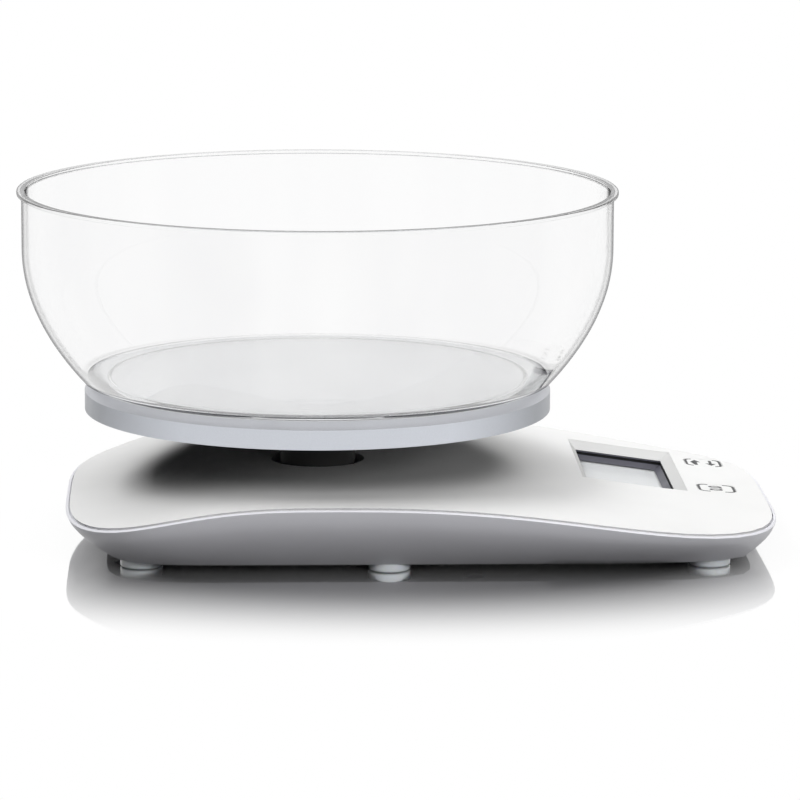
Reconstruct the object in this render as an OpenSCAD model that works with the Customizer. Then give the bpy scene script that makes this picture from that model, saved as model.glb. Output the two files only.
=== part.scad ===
// Kitchen scale with a clear bowl: boat-shaped casing, weighing platform, display and keys.
// Millimetres, +Z up. The user stands at -Y and the display is at the -Y end.
// The origin is on the table, under the middle of the whole object's outline.

/* [Casing] */
// Length from the platform's axis to the display end
front_len = 146; // [140:1:160]
// Length from the platform's axis to the rear end
rear_len = 81; // [78:1:96]
// Width of the casing at its lip
casing_w = 163.6; // [158:0.2:184]
// Squareness of the display end in plan (2 would be an ellipse)
front_square = 4.3; // [3.9:0.1:5]
// Squareness of the rear end in plan
rear_square = 3.7; // [3.2:0.1:5]
// Height of the cover's edge above the table beside the platform's axis
crest_h = 25; // [24.2:0.1:30]
// Height of the cover's edge at the display end
front_h = 12.5; // [12:0.1:14]
// Height of the cover's edge at the rear end
rear_h = 14.5; // [12:0.1:18]
// How long the lip stays high before it falls to the display end
front_sweep = 1.32; // [1.3:0.01:1.6]
// How long the lip stays high before it falls to the rear end
rear_sweep = 1.45; // [1:0.01:1.7]
// How far the underside is drawn in at the sides
side_tuck = 21.4; // [16:0.1:23]
// How far the underside is drawn in at the display end
front_tuck = 9; // [6:0.1:10]
// How far the underside is drawn in at the rear end
rear_tuck = 13.2; // [8:0.1:16]
// Squareness of the underside at the display end
front_tuck_square = 8.8; // [6:0.1:10]
// Squareness of the underside at the rear end
rear_tuck_square = 6.3; // [4:0.1:8]
// Fullness of the hull between the lip and the underside (1 is straight)
hull_power = 1.47; // [1.3:0.01:1.8]
// Thickness of the hull's side, measured level
wall = 2.6; // [2.2:0.1:3]
// Thickness of the casing's floor
floor_t = 2.2; // [1.8:0.1:2.3]
// Width of the lip that frames the cover
lip_w = 0.9; // [0.8:0.1:1.6]
// How far the lip lies below the cover's edge
lip_drop = 0.6; // [0.2:0.1:0.8]
// Width and height of the bevel on the lip's outer edge
lip_bevel = 0.4; // [0.2:0.1:0.6]
// Width of the fine groove between lip and cover
groove_w = 0.4; // [0.3:0.05:0.6]

/* [Cover] */
// Thickness of the cover
cover_t = 2.2; // [1.8:0.1:2.3]
// Thickness of the cover's edge, where it rests on the casing
cover_edge_t = 1.4; // [1.2:0.1:1.5]
// How far the cover's edge is undercut
edge_tuck = 0.5; // [0:0.1:0.5]
// Depth of the locating skirt below the surface
skirt_depth = 4.2; // [3:0.1:5]
// Thickness of the locating skirt
skirt_t = 1.4; // [1:0.1:2]
// Radius of the hole that the platform's post passes through
post_hole_r = 15; // [14:0.1:18]

/* [Feet] */
// Radius of a foot
foot_r = 6.7; // [5:0.1:8]
// Height of a foot below the casing, which sets the underside's height
foot_h = 2.8; // [2.4:0.1:3.2]
// Radius of the spigot that holds a foot
spigot_r = 2.6; // [1.5:0.1:3.5]
// Length of the spigot
spigot_h = 1.4; // [1:0.1:1.5]
// Middle feet: distance ahead of the platform's axis
mid_foot_t = 21.2; // [16:0.1:30]
// Middle feet: distance in from the casing's sides
mid_foot_side = 27.9; // [27.5:0.1:30]
// Rear feet: distance in from the casing's sides
rear_foot_side = 34.2; // [33:0.1:36]
// Rear feet: distance in from the rear end
rear_foot_end = 24.6; // [24:0.1:26]
// Front feet: distance in from the casing's sides
front_foot_side = 33.1; // [32:0.1:35]
// Front feet: distance in from the display end
front_foot_end = 23.6; // [22:0.1:25]

/* [Screws] */
// Middle casing screws: distance ahead of the platform's axis
mid_screw_t = 48.2; // [44:0.1:50]
// Middle casing screws: distance in from the casing's sides
mid_screw_side = 29; // [28:0.5:30]
// End casing screws: distance in from the casing's sides
end_screw_side = 52; // [50:0.5:53]
// Rear casing screws: distance in from the rear end
rear_screw_end = 19; // [18.5:0.5:20]
// Front casing screw: distance in from the display end
front_screw_end = 22; // [21:0.5:24]
// Shank radius of the casing's self-tapping screws
tapper_r = 1.4; // [1.2:0.05:1.6]
// Head radius of the self-tapping screws
tapper_head_r = 2.7; // [2.4:0.1:3]
// Head height of the self-tapping screws
tapper_head_h = 1.5; // [1.2:0.1:1.8]
// Shank radius of the load cell's screws
cell_screw_r = 2; // [1.5:0.05:2.2]
// Head radius of the load cell's screws
cell_head_r = 3.6; // [3:0.1:4]
// Head height of the load cell's screws
cell_head_h = 1.3; // [1:0.1:1.4]
// Shank radius of the board's screws
board_screw_r = 1; // [0.8:0.05:1.1]
// Head radius of the board's screws
board_head_r = 1.9; // [1.6:0.1:2.2]

/* [Platform] */
// Radius of the weighing platform
platform_r = 75; // [68:0.5:78]
// Height of the platform's side band
band_h = 6.2; // [6:0.1:8]
// Width and height of the sloped shoulder above the band
shoulder = 2.4; // [1.5:0.1:3]
// Gap between the cover's crest and the platform
platform_gap = 17; // [15:0.1:24]
// Thickness of the platform's top
platform_top_t = 2.4; // [2:0.1:2.6]
// Thickness of the platform's side band
band_t = 2.2; // [1.8:0.1:3]
// Radius of the post
post_r = 12; // [11.5:0.1:13]
// Wall of the post
post_wall = 2.4; // [2:0.1:2.6]
// Radius of the post's top flange
flange_r = 32; // [28:0.5:40]
// Thickness of the post's top flange
flange_t = 2; // [1.6:0.1:2.4]
// Distance of the platform's screws from its axis
platform_screw_ring = 26; // [20:0.5:27]
// Distance of the post's two screws from its axis
post_screw_x = 5; // [4.5:0.1:6]
// How far the platform sinks before the overload stop
sink = 0.4; // [0.3:0.05:0.5]

/* [Load cell] */
// Length of the load cell bar
cell_len = 80; // [76:1:84]
// Width of the load cell bar
cell_w = 12.7; // [12:0.1:14]
// Height of the load cell bar
cell_h = 9; // [8.6:0.1:9.4]
// Radius of the two bores that make the bar bend
cell_bore_r = 3.2; // [2.8:0.1:3.4]
// Spacing of the two bores
cell_bore_span = 14; // [12:0.5:18]
// Spacing of the two screws at each end of the bar
cell_screw_span = 14; // [12:0.5:15]
// Distance of the outer screw from the end of the bar
cell_screw_edge = 6; // [5:0.5:7]
// Thickness of the spreader plate under the fixed end
spreader_t = 1.2; // [1:0.1:1.4]
// Thickness of the arm on the free end
arm_t = 2; // [1.6:0.1:2.2]
// Height of the arm above the bar
arm_lift = 0.8; // [0.7:0.1:1]
// Thickness of a strain gauge with its coat
gauge_t = 0.3; // [0.2:0.05:0.4]

/* [Bowl] */
// Radius of the bowl's wall near the rim
bowl_r = 94.8; // [90:0.1:100]
// Height of the bowl
bowl_h = 62.3; // [58:0.1:80]
// Height at which the bowl's side turns upright
bowl_upright = 43.4; // [40:0.1:46]
// How quickly the bowl's side curves in below that height
bowl_curve = 0.0108; // [0.009:0.0001:0.0115]
// Radius of the bowl's flat base
bowl_base_r = 72; // [66:0.1:72.5]
// Height of the bevel at the foot of the bowl
bowl_bevel = 1.4; // [1:0.1:3]
// Wall thickness of the bowl
bowl_wall = 1.2; // [1.2:0.1:2.5]
// Floor thickness of the bowl
bowl_floor = 2; // [1.5:0.1:3]
// Height of the rolled rim
rim_h = 1.2; // [1.2:0.1:3]
// How far the rim stands out from the wall
rim_out = 1.5; // [1:0.1:3]

/* [Display] */
// Length of the window along the scale
window_l = 29.2; // [24:0.1:29.4]
// Width of the window across the scale
window_w = 60; // [50:0.1:60]
// Distance of the window's centre from the platform's axis
window_t = 103; // [101:0.1:103.1]
// Offset of the window's centre to the user's right
window_x = 30.5; // [27:0.1:30.5]
// Width of the sloped surround
bevel_w = 2.7; // [2:0.1:3]
// Depth of the sloped surround
bevel_d = 2.5; // [2.3:0.1:2.6]
// Depth from the surround to the liquid crystal panel
well_d = 3.7; // [3:0.1:3.7]
// Thickness of the liquid crystal panel
lcd_t = 2; // [1.6:0.1:2]
// Thickness of the clear window film on the panel
film_t = 0.4; // [0.3:0.05:0.5]
// Wall of the tray that holds the panel
tray_wall = 1.2; // [1:0.1:1.3]
// Floor of the tray
tray_floor = 0.5; // [0.4:0.1:0.6]

/* [Keys] */
// Length of a key along the scale
key_l = 12.2; // [10:0.1:12.4]
// Width of a key across the scale
key_w = 11.6; // [10:0.1:11.8]
// Distance of the keys from the platform's axis
key_t = 130.3; // [129.5:0.1:130.5]
// Middle of the key pair, to the user's right
key_x = 27.6; // [26:0.1:27.7]
// Spacing of the two keys
key_span = 42.8; // [40:0.1:43]
// Corner radius of a key
key_corner = 2.6; // [1:0.1:4]
// Travel of a key
key_travel = 0.4; // [0.25:0.05:0.45]
// Thickness of the ears that keep a key from lifting out
ear_t = 1; // [0.8:0.1:1.2]
// Width of each ear beyond the key
ear_w = 0.8; // [0.6:0.1:0.9]
// Length of the ears along the scale
ear_l = 6; // [5:0.1:7]
// Thickness of the small board under the keys
key_board_t = 1; // [0.8:0.1:1]
// Length of the small board along the scale
key_board_l = 8; // [7.6:0.1:8.2]
// Size of a tact switch each way
switch_w = 6; // [5:0.1:6.2]
// Radius of a switch's plunger
plunger_r = 1.5; // [1:0.1:1.7]
// Height of a switch's plunger
plunger_h = 0.7; // [0.6:0.1:0.9]

/* [Battery] */
// Radius of the coin cell
coin_r = 10; // [8:0.5:10]
// Thickness of the coin cell
coin_h = 3.2; // [2.5:0.1:3.2]
// Thickness of the battery door
door_t = 1.9; // [1.8:0.1:2.1]
// Size of the battery door each way
door_w = 26; // [25:0.5:27]
// Height of the door's tongues
tongue_h = 0.8; // [0.6:0.1:0.9]
// Width of the door's tongues
tongue_w = 1.2; // [1:0.1:1.6]
// Distance of the battery behind the platform's axis
battery_y = 15; // [12:0.5:18]
// Thickness of the sprung contacts
contact_t = 0.3; // [0.2:0.05:0.4]
// Wall of the battery bay
bay_wall = 1.6; // [1.2:0.1:2]

/* [Boards] */
// Length of the main board along the scale
board_l = 34; // [30:1:36]
// Width of the main board across the scale
board_w = 36; // [30:1:38]
// Thickness of the main board
board_t = 1.2; // [1:0.1:1.6]
// Distance of the main board's rear edge from the platform's axis
board_t0 = 44; // [43:0.5:46]
// Left edge of the main board
board_x0 = 12; // [10:0.5:14]
// Distance of the board's screws from its edges
board_screw_edge = 3; // [2.5:0.1:4]
// Height of the board's standoffs
standoff_h = 1.6; // [1.2:0.1:2]
// Size of the processor's package each way
chip_w = 12; // [8:0.5:14]
// Radius of an insulated wire
wire_r = 0.5; // [0.4:0.05:0.6]

/* [Clearances] */
// Gap between pieces that seat on each other
seat = 0.05; // [0.02:0.01:0.08]
// Gap around pieces that move
free = 0.3; // [0.25:0.05:0.4]
// How far a boss or standoff is rooted in the wall that carries it
root = 0.5; // [0.3:0.1:0.6]

/* [Hidden] */
$fn = 64;
SEG = 120;
HULL_RINGS = 6;
BIG = 300;
half_w = casing_w / 2;
base_z = foot_h;
floor_z = base_z + floor_t;
rim_top_r = bowl_r + rim_out;
platform_y = (front_len - max(rim_top_r, rear_len)) / 2;
cover_inset = lip_w + groove_w;
lip_low = lip_drop + lip_bevel;

platform_z = crest_h + platform_gap;
platform_h = band_h + shoulder;
platform_top = platform_z + platform_h;
platform_ceiling = platform_top - platform_top_t;

// The pad under the load cell leaves room for the screw heads sunk into the floor
pad_z = floor_z + 1.2;
cell_z = pad_z + spreader_t;
cell_mid = cell_z + cell_h / 2;
cell_top = cell_z + cell_h;
arm_z = cell_top + arm_lift;
arm_top = arm_z + arm_t;
cell_screws_y = [for (i = [0, 1]) cell_len / 2 - cell_screw_edge - i * cell_screw_span];
cell_head_z = base_z + cell_head_h + free;
fixed_end = cell_screw_span + 2 * cell_screw_edge;
flange_gap = 2.2;
flange_z = platform_ceiling - flange_gap - flange_t;

door_z = base_z;
door_top = door_z + door_t;
tongue_z = door_top - tongue_h;
door_out = half_w - side_tuck + 0.2;
door_x = door_out - door_w / 2;
door_l = door_w + 2 * tongue_w;
coin_x = door_x - 1;
coin_z = door_top + 0.5;
well_r = coin_r + free;
bay_top = coin_z + coin_h + 1.5;
bay_roof = bay_top + bay_wall;
slot_w = 6;
bay_x = coin_x - well_r;

screw_grip = 4.5;
boss_r = 3.9;
boss_floor = 1.8;
board_z = floor_z + standoff_h;
board_top = board_z + board_t;
board_t1 = board_t0 + board_l;

key_z = edge_z(key_t);
key_tilt = atan((edge_z(key_t - key_l / 2) - edge_z(key_t + key_l / 2)) / key_l);
key_xs = [key_x - key_span / 2, key_x + key_span / 2];
key_depth = cover_t + 0.4;
ear_top = cover_t + free;
key_board_z = floor_z + 0.5;
key_board_top = key_board_z + key_board_t;
// The switches sit a little behind the keys' middles, where the hull leaves room for their board
switch_t = key_t - 1.5;
switch_top = key_z - ear_top - ear_t - 1.1;

window_tilt = atan((edge_z(window_t - window_l / 2) - edge_z(window_t + window_l / 2)) / window_l);
tray_w = window_w + 2 * free + 2 * tray_wall;
tray_l = window_l + 2 * free + 2 * tray_wall;
ribbon_w = 20;
ribbon_x = -10 + ribbon_w / 2;
lcd_top = -bevel_d - well_d;
tray_top = -bevel_d - 0.3;
tray_low = lcd_top - lcd_t - tray_floor;

// Feet, casing screws and board screws, as places measured from the platform's axis
FEET = [
    for (
        row = [
            [rear_foot_side, rear_len - rear_foot_end],
            [mid_foot_side, -mid_foot_t],
            [front_foot_side, front_foot_end - front_len]
        ],
        side = [-1, 1]
    )
        [side * (half_w - row[0]), row[1]]
];
CASING_SCREWS = [
    [end_screw_side - half_w, rear_len - rear_screw_end],
    [half_w - end_screw_side, rear_len - rear_screw_end],
    [mid_screw_side - half_w, -mid_screw_t],
    [half_w - mid_screw_side, -mid_screw_t],
    [end_screw_side - half_w, front_screw_end - front_len]
];
BOARD_SCREWS = [
    for (x = [board_screw_edge, board_w - board_screw_edge],
        t = [board_screw_edge, board_l - board_screw_edge])
        [board_x0 + x, -board_t0 - t]
];

function mix(a, b, f) = a + (b - a) * f;

// Height of the cover's edge at distance t ahead of the platform's axis: a bell that falls to each end
function edge_z(t) =
    let (
        ahead = t >= 0,
        end_h = ahead ? front_h : rear_h,
        reach = min(1, abs(t) / (ahead ? front_len : rear_len)),
        s = pow(reach, ahead ? front_sweep : rear_sweep)
    )
    end_h + (crest_h - end_h) * (1 + cos(180 * s)) / 2;

// Plan outline of two half superellipses, as SEG points from the display end anticlockwise
function outline(front, rear, half, n_front, n_rear) = [
    for (i = [0:SEG - 1])
        let (
            a = 360 * i / SEG,
            ahead = cos(a) >= 0,
            n = ahead ? n_front : n_rear,
            len = ahead ? front : rear,
            r = pow(pow(abs(cos(a)) / len, n) + pow(abs(sin(a)) / half, n), -1 / n)
        )
        [r * sin(a), -r * cos(a)]
];
function lip_plan(inset) =
    outline(front_len - inset, rear_len - inset, half_w - inset, front_square, rear_square);
function under_plan(inset) =
    outline(front_len - front_tuck - inset, rear_len - rear_tuck - inset,
        half_w - side_tuck - inset, front_tuck_square, rear_tuck_square);

// Upright ring: the lip's plan, drawn in by inset, at a depth below the surface
function plan_ring(inset, depth) =
    [for (p = lip_plan(inset)) [p.x, p.y, edge_z(-p.y) - depth]];

// Ring on the hull's curve, a fraction f of the way from depth drop to height low
function hull_ring(inset, f, drop, low) =
    let (lip = lip_plan(inset), under = under_plan(inset))
    [
        for (i = [0:SEG - 1])
            let (
                top = edge_z(-lip[i].y),
                depth = drop + (top - low - drop) * f,
                g = pow(max(0, depth - lip_low) / (top - lip_low - base_z), hull_power)
            )
            [mix(lip[i].x, under[i].x, g), mix(lip[i].y, under[i].y, g), top - depth]
    ];

// Solid whose skin is a list of rings. Its ends are flat fans, or strips that run straight across
module rings(list, flat = false) {
    half = SEG / 2;
    last = (len(list) - 1) * SEG;
    centre = len(list) * SEG;
    sides = [
        for (k = [0:len(list) - 2], i = [0:SEG - 1])
            let (a = k * SEG + i, b = k * SEG + (i + 1) % SEG)
            each [[a, a + SEG, b], [b, a + SEG, b + SEG]]
    ];
    fans = [
        for (i = [0:SEG - 1])
            let (a = i, b = (i + 1) % SEG)
            each [[a, b, centre], [last + b, last + a, centre + 1]]
    ];
    strips = [
        for (i = [0:half - 1])
            let (a = i, b = i + 1, c = (SEG - i) % SEG, d = SEG - i - 1)
            each [
                if (i < half - 1) [a, b, d],
                if (i > 0) [a, d, c],
                if (i < half - 1) [last + a, last + d, last + b],
                if (i > 0) [last + a, last + c, last + d]
            ]
    ];
    middle = function (ring) [0, 0, ring[0].z];
    polyhedron(
        concat([for (r = list) each r], flat ? [middle(list[0]), middle(list[len(list) - 1])] : []),
        concat(sides, flat ? fans : strips)
    );
}

// Moves a piece from the platform's axis to its place in the part's own frame
module placed() {
    translate([0, platform_y, 0]) children();
}
module at_window() {
    translate([window_x, -window_t, edge_z(window_t)]) rotate([window_tilt, 0, 0]) children();
}
module at_key(x, grow, low, high) {
    translate([x, -key_t, key_z]) rotate([key_tilt, 0, 0]) translate([0, 0, low]) linear_extrude(high - low)
        rounded(key_w + 2 * grow, key_l + 2 * grow, key_corner + grow);
}
// Ears that stop a key from lifting out, one on each side
module key_ears(x, grow, low, high) {
    translate([x, -key_t, key_z]) rotate([key_tilt, 0, 0])
        block([key_w + 2 * ear_w + 2 * grow, ear_l + 2 * grow, high - low], [0, 0, low]);
}
module rounded(w, l, r) {
    square([w - 2 * r, l], center = true);
    square([w, l - 2 * r], center = true);
    for (x = [-1, 1], y = [-1, 1]) translate([x * (w / 2 - r), y * (l / 2 - r)]) circle(r);
}
module block(size, at) {
    translate(at) translate([-size.x / 2, -size.y / 2, 0]) cube(size);
}
// Eight-sided wire along a list of points, mitred where it bends; no stretch stands upright
module wire(points, r) {
    last = len(points) - 1;
    unit = function (v) v / norm(v);
    ring = function (i)
        let (
            d = unit((i > 0 ? unit(points[i] - points[i - 1]) : [0, 0, 0])
                + (i < last ? unit(points[i + 1] - points[i]) : [0, 0, 0])),
            u = unit(cross(d, [0, 0, 1])),
            v = cross(u, d)
        )
        [for (k = [0:7]) points[i] + r * (cos(45 * k) * u + sin(45 * k) * v)];
    polyhedron(
        [for (i = [0:last]) each ring(i)],
        concat(
            [[for (k = [0:7]) k], [for (k = [7:-1:0]) 8 * last + k]],
            [for (i = [0:last - 1], k = [0:7]) let (a = 8 * i + k, b = 8 * i + (k + 1) % 8)
                each [[a, a + 8, b], [b, a + 8, b + 8]]]
        )
    );
}
// Pan-head screw with its head's seat at the origin and its shank along +Z
module screw(r, head_r, head_h, length) {
    difference() {
        union() {
            cylinder(h = length, r = r);
            translate([0, 0, -head_h]) cylinder(h = head_h, r = head_r);
        }
        // Cross recess
        for (a = [0, 90]) rotate(a) block([head_r * 1.2, 0.6, 0.7], [0, 0, -head_h - 0.1]);
    }
}

// Height at which a casing screw's two bosses meet
function meet_z(p) = edge_z(-p.y) - cover_t - screw_grip;

module hull_shell() {
    rings(concat(
        [for (k = [0:HULL_RINGS]) hull_ring(0, 1 - k / HULL_RINGS, lip_low, base_z)],
        [plan_ring(lip_bevel, lip_drop), plan_ring(lip_w, lip_drop), plan_ring(lip_w, cover_edge_t)],
        [for (k = [0:HULL_RINGS]) hull_ring(wall, k / HULL_RINGS, cover_edge_t, floor_z)]
    ), flat = true);
}

module lower_casing() color([0.80, 0.80, 0.82]) placed() difference() {
    union() {
        hull_shell();
        for (p = CASING_SCREWS) translate([p.x, p.y, base_z + root])
            cylinder(h = meet_z(p) - base_z - root, r = boss_r);
        for (p = BOARD_SCREWS) translate([p.x, p.y, floor_z - root])
            cylinder(h = board_z - floor_z + root, r = board_head_r + free);
        // Pad under the load cell's fixed end, and the overload stop under its free end
        block([cell_w + 16, fixed_end, pad_z - floor_z + root],
            [0, (cell_len - fixed_end) / 2 + 2, floor_z - root]);
        block([cell_w, 8, cell_z - sink - free - floor_z + root], [0, 6 - cell_len / 2, floor_z - root]);
        // Battery bay, with a thickened floor for the door's grooves
        block([door_w + 2, door_l + 4, tongue_z + tongue_h + free + bay_wall - floor_z + root],
            [door_x - 1, battery_y, floor_z - root]);
        translate([coin_x, battery_y, floor_z - root])
            cylinder(h = bay_roof - floor_z + root, r = well_r + bay_wall);
        block([8, 2 * slot_w, bay_roof - floor_z + root], [bay_x + 1, battery_y, floor_z - root]);
        // Standoffs of the key board
        for (x = key_xs)
            block([switch_w - 1, switch_w, key_board_z - floor_z + root], [x, -switch_t, floor_z - root]);
    }
    for (p = CASING_SCREWS) translate([p.x, p.y, base_z - 1]) {
        cylinder(h = meet_z(p) - boss_floor - base_z + 1, r = tapper_head_r + free);
        cylinder(h = BIG, r = tapper_r + seat);
    }
    for (p = BOARD_SCREWS) translate([p.x, p.y, floor_z - root]) cylinder(h = BIG, r = board_screw_r + seat);
    for (p = FEET) translate([p.x, p.y, base_z - 1])
        cylinder(h = spigot_h + 1 + seat, r = spigot_r + seat);
    for (y = cell_screws_y) translate([0, y, base_z - 1]) {
        cylinder(h = cell_head_z - base_z + 1, r = cell_head_r + free);
        cylinder(h = BIG, r = cell_screw_r + seat);
    }
    // Door recess, open at the side so that the door slides out, and its two grooves
    translate([door_out - door_w - free, battery_y - door_w / 2 - free, base_z - 1])
        cube([BIG, door_w + 2 * free, door_t + free + 1]);
    translate([door_out - door_w - free, battery_y - door_l / 2 - free, tongue_z - free])
        cube([BIG, door_l + 2 * free, tongue_h + 2 * free]);
    translate([coin_x, battery_y, base_z]) cylinder(h = bay_top - base_z, r = well_r);
    block([1.2, slot_w + 2 * free, bay_top - door_top], [bay_x, battery_y, door_top]);
    at_window() block([tray_w + 2 * free, tray_l + 2 * free, BIG], [0, 0, tray_low - 2 * seat]);
    for (x = key_xs) {
        at_key(x, 2 * free, -key_depth - free - key_travel, 3);
        key_ears(x, 2 * free, -ear_top - ear_t - free - key_travel, 3);
    }
}

module upper_cover() color([0.92, 0.92, 0.91]) placed() difference() {
    union() {
        rings([
            hull_ring(wall + free + skirt_t, 0, cover_t, floor_z),
            hull_ring(wall + free + skirt_t, 0, skirt_depth, floor_z),
            hull_ring(wall + free, 0, skirt_depth, floor_z),
            hull_ring(wall + free, 0, cover_edge_t - seat, floor_z),
            plan_ring(cover_inset + edge_tuck, cover_edge_t - seat),
            plan_ring(cover_inset + edge_tuck, lip_drop), plan_ring(cover_inset, 0)
        ]);
        for (p = CASING_SCREWS) translate([p.x, p.y, meet_z(p) + seat])
            cylinder(h = screw_grip + root - seat, r = boss_r - 0.4);
        // Frame around the window, on which the tray sits
        at_window() block([tray_w, tray_l, 1.8], [0, 0, tray_top + seat]);
    }
    cylinder(h = BIG, r = post_hole_r);
    for (p = CASING_SCREWS) translate([p.x, p.y, meet_z(p) - 1])
        cylinder(h = screw_grip + 1, r = tapper_r + seat);
    at_window() {
        block([window_w, window_l, BIG], [0, 0, -BIG / 2]);
        hull() {
            block([window_w, window_l, 0.01], [0, 0, -bevel_d]);
            block([window_w + 2 * bevel_w, window_l + 2 * bevel_w, bevel_d], [0, 0, 0]);
        }
    }
    for (x = key_xs) {
        at_key(x, free, -2 * skirt_depth, 3);
        key_ears(x, free, -2 * skirt_depth, -cover_t);
    }
}

module foot(p) color([0.93, 0.93, 0.93]) placed() translate([p.x, p.y, 0]) {
    round_r = 0.8;
    rotate_extrude() polygon([
        [0, 0],
        for (a = [0:15:90]) [foot_r - round_r + round_r * sin(a), round_r - round_r * cos(a)],
        [foot_r, base_z], [spigot_r, base_z], [spigot_r, base_z + spigot_h], [0, base_z + spigot_h]
    ]);
}
module rear_left_foot() foot(FEET[0]);
module rear_right_foot() foot(FEET[1]);
module middle_left_foot() foot(FEET[2]);
module middle_right_foot() foot(FEET[3]);
module front_left_foot() foot(FEET[4]);
module front_right_foot() foot(FEET[5]);

module casing_screws() color([0.7, 0.7, 0.72]) placed()
    for (p = CASING_SCREWS) translate([p.x, p.y, meet_z(p) - boss_floor])
        screw(tapper_r, tapper_head_r, tapper_head_h, boss_floor + screw_grip - 0.6);

module spreader_plate() color([0.75, 0.76, 0.78]) placed() difference() {
    block([cell_w + 14, fixed_end - 2, spreader_t], [0, (cell_len - fixed_end) / 2 + 2, pad_z]);
    for (y = cell_screws_y) translate([0, y, pad_z - 1])
        cylinder(h = spreader_t + 2, r = cell_screw_r + seat);
}

module load_cell() color([0.78, 0.79, 0.80]) placed() difference() {
    block([cell_w, cell_len, cell_h], [0, 0, cell_z]);
    for (y = [-cell_bore_span / 2, cell_bore_span / 2])
        translate([-cell_w, y, cell_mid]) rotate([0, 90, 0]) cylinder(h = 2 * cell_w, r = cell_bore_r);
    // Slot that joins the two bores
    block([2 * cell_w, cell_bore_span, 0.75 * cell_bore_r], [0, 0, cell_mid - 0.375 * cell_bore_r]);
    for (y = cell_screws_y, s = [-1, 1])
        translate([0, s * y, cell_z - 1]) cylinder(h = cell_h + 2, r = cell_screw_r + seat);
}

module strain_gauges() color([0.9, 0.88, 0.8]) placed()
    for (y = [-cell_bore_span / 2, cell_bore_span / 2], z = [cell_top, cell_z - gauge_t])
        block([cell_w * 0.55, cell_bore_r * 1.9, gauge_t], [0, y, z]);

module cell_screws() color([0.6, 0.6, 0.62]) placed()
    for (y = cell_screws_y) translate([0, y, cell_head_z])
        screw(cell_screw_r, cell_head_r, cell_head_h, cell_top - 1 - cell_head_z);

module carrier_arm() color([0.75, 0.76, 0.78]) placed() difference() {
    union() {
        block([cell_w + 2, cell_len / 2, arm_t], [0, -cell_len / 4, arm_z]);
        translate([0, 0, arm_z]) cylinder(h = arm_t, r = post_r);
        // Foot that lifts the arm clear of the bar
        block([cell_w, fixed_end - 1, arm_lift], [0, (fixed_end - 1 - cell_len) / 2, cell_top]);
    }
    for (y = cell_screws_y) translate([0, -y, cell_top - 1])
        cylinder(h = arm_top - cell_top + 2, r = cell_screw_r + seat);
    for (x = [-post_screw_x, post_screw_x]) translate([x, 0, arm_z - 1])
        cylinder(h = arm_t + 2, r = tapper_r + seat);
}

module arm_screws() color([0.6, 0.6, 0.62]) placed()
    for (y = cell_screws_y) translate([0, -y, arm_top]) mirror([0, 0, 1])
        screw(cell_screw_r, cell_head_r, cell_head_h, arm_top - cell_z - 1.5);

// Copies what follows at each of the platform's four screws
module at_platform_screws() {
    for (a = [45:90:315]) rotate(a) translate([platform_screw_ring, 0, 0]) children();
}

module platform_post() color([0.45, 0.45, 0.46]) placed() difference() {
    union() {
        translate([0, 0, arm_top]) cylinder(h = flange_z + flange_t - arm_top, r = post_r);
        translate([0, 0, flange_z]) cylinder(h = flange_t, r = flange_r);
    }
    translate([0, 0, arm_top + post_wall]) cylinder(h = BIG, r = post_r - post_wall);
    for (x = [-post_screw_x, post_screw_x]) translate([x, 0, arm_top - 1])
        cylinder(h = post_wall + 2, r = tapper_r + seat);
    at_platform_screws() translate([0, 0, flange_z - 1]) cylinder(h = flange_t + 2, r = tapper_r + seat);
}

module post_screws() color([0.6, 0.6, 0.62]) placed()
    for (x = [-post_screw_x, post_screw_x]) translate([x, 0, arm_top + post_wall]) mirror([0, 0, 1])
        screw(tapper_r, tapper_head_r, tapper_head_h, post_wall + arm_t);

module platform_disc() color([0.74, 0.76, 0.80]) placed() difference() {
    union() {
        rotate_extrude($fn = 120) polygon([
            [0, platform_ceiling], [platform_r - band_t, platform_ceiling], [platform_r - band_t, platform_z],
            [platform_r, platform_z], [platform_r, platform_z + band_h],
            [platform_r - shoulder, platform_top], [0, platform_top]
        ]);
        at_platform_screws() translate([0, 0, flange_z + flange_t])
            cylinder(h = flange_gap + root, r = boss_r);
    }
    at_platform_screws() translate([0, 0, flange_z])
        cylinder(h = platform_top - 0.8 - flange_z, r = tapper_r + seat);
}

module platform_screws() color([0.6, 0.6, 0.62]) placed() at_platform_screws()
    translate([0, 0, flange_z]) screw(tapper_r, tapper_head_r, tapper_head_h, flange_t + flange_gap + 1);

// Radius and slope of the bowl's side at height z above its base, upright above bowl_upright
function bowl_side(z) = bowl_r - bowl_curve * pow(max(0, bowl_upright - z), 2);
function bowl_slant(z) = 2 * bowl_curve * max(0, bowl_upright - z);
module bowl() color([0.85, 0.9, 0.92, 0.4]) placed() translate([0, 0, platform_top + seat]) {
    steps = 20;
    edge_r = 0.5;
    rotate_extrude($fn = 120) polygon([
        [0, 0], [bowl_base_r, 0],
        for (i = [0:steps]) let (z = mix(bowl_bevel, bowl_upright, i / steps)) [bowl_side(z), z],
        [bowl_r, bowl_h - rim_h], [rim_top_r - edge_r, bowl_h - rim_h], [rim_top_r, bowl_h - rim_h + edge_r],
        [rim_top_r, bowl_h - edge_r], [rim_top_r - edge_r, bowl_h], [bowl_r - bowl_wall + edge_r, bowl_h],
        [bowl_r - bowl_wall, bowl_h - edge_r],
        for (i = [steps:-1:0]) let (z = mix(bowl_floor, bowl_upright, i / steps))
            [bowl_side(z) - bowl_wall * sqrt(1 + pow(bowl_slant(z), 2)), z],
        [0, bowl_floor]
    ]);
}

module display_film() color([0.85, 0.88, 0.9, 0.4]) placed() at_window()
    block([window_w + free, window_l + free, film_t - seat], [0, 0, lcd_top + seat]);

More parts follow.
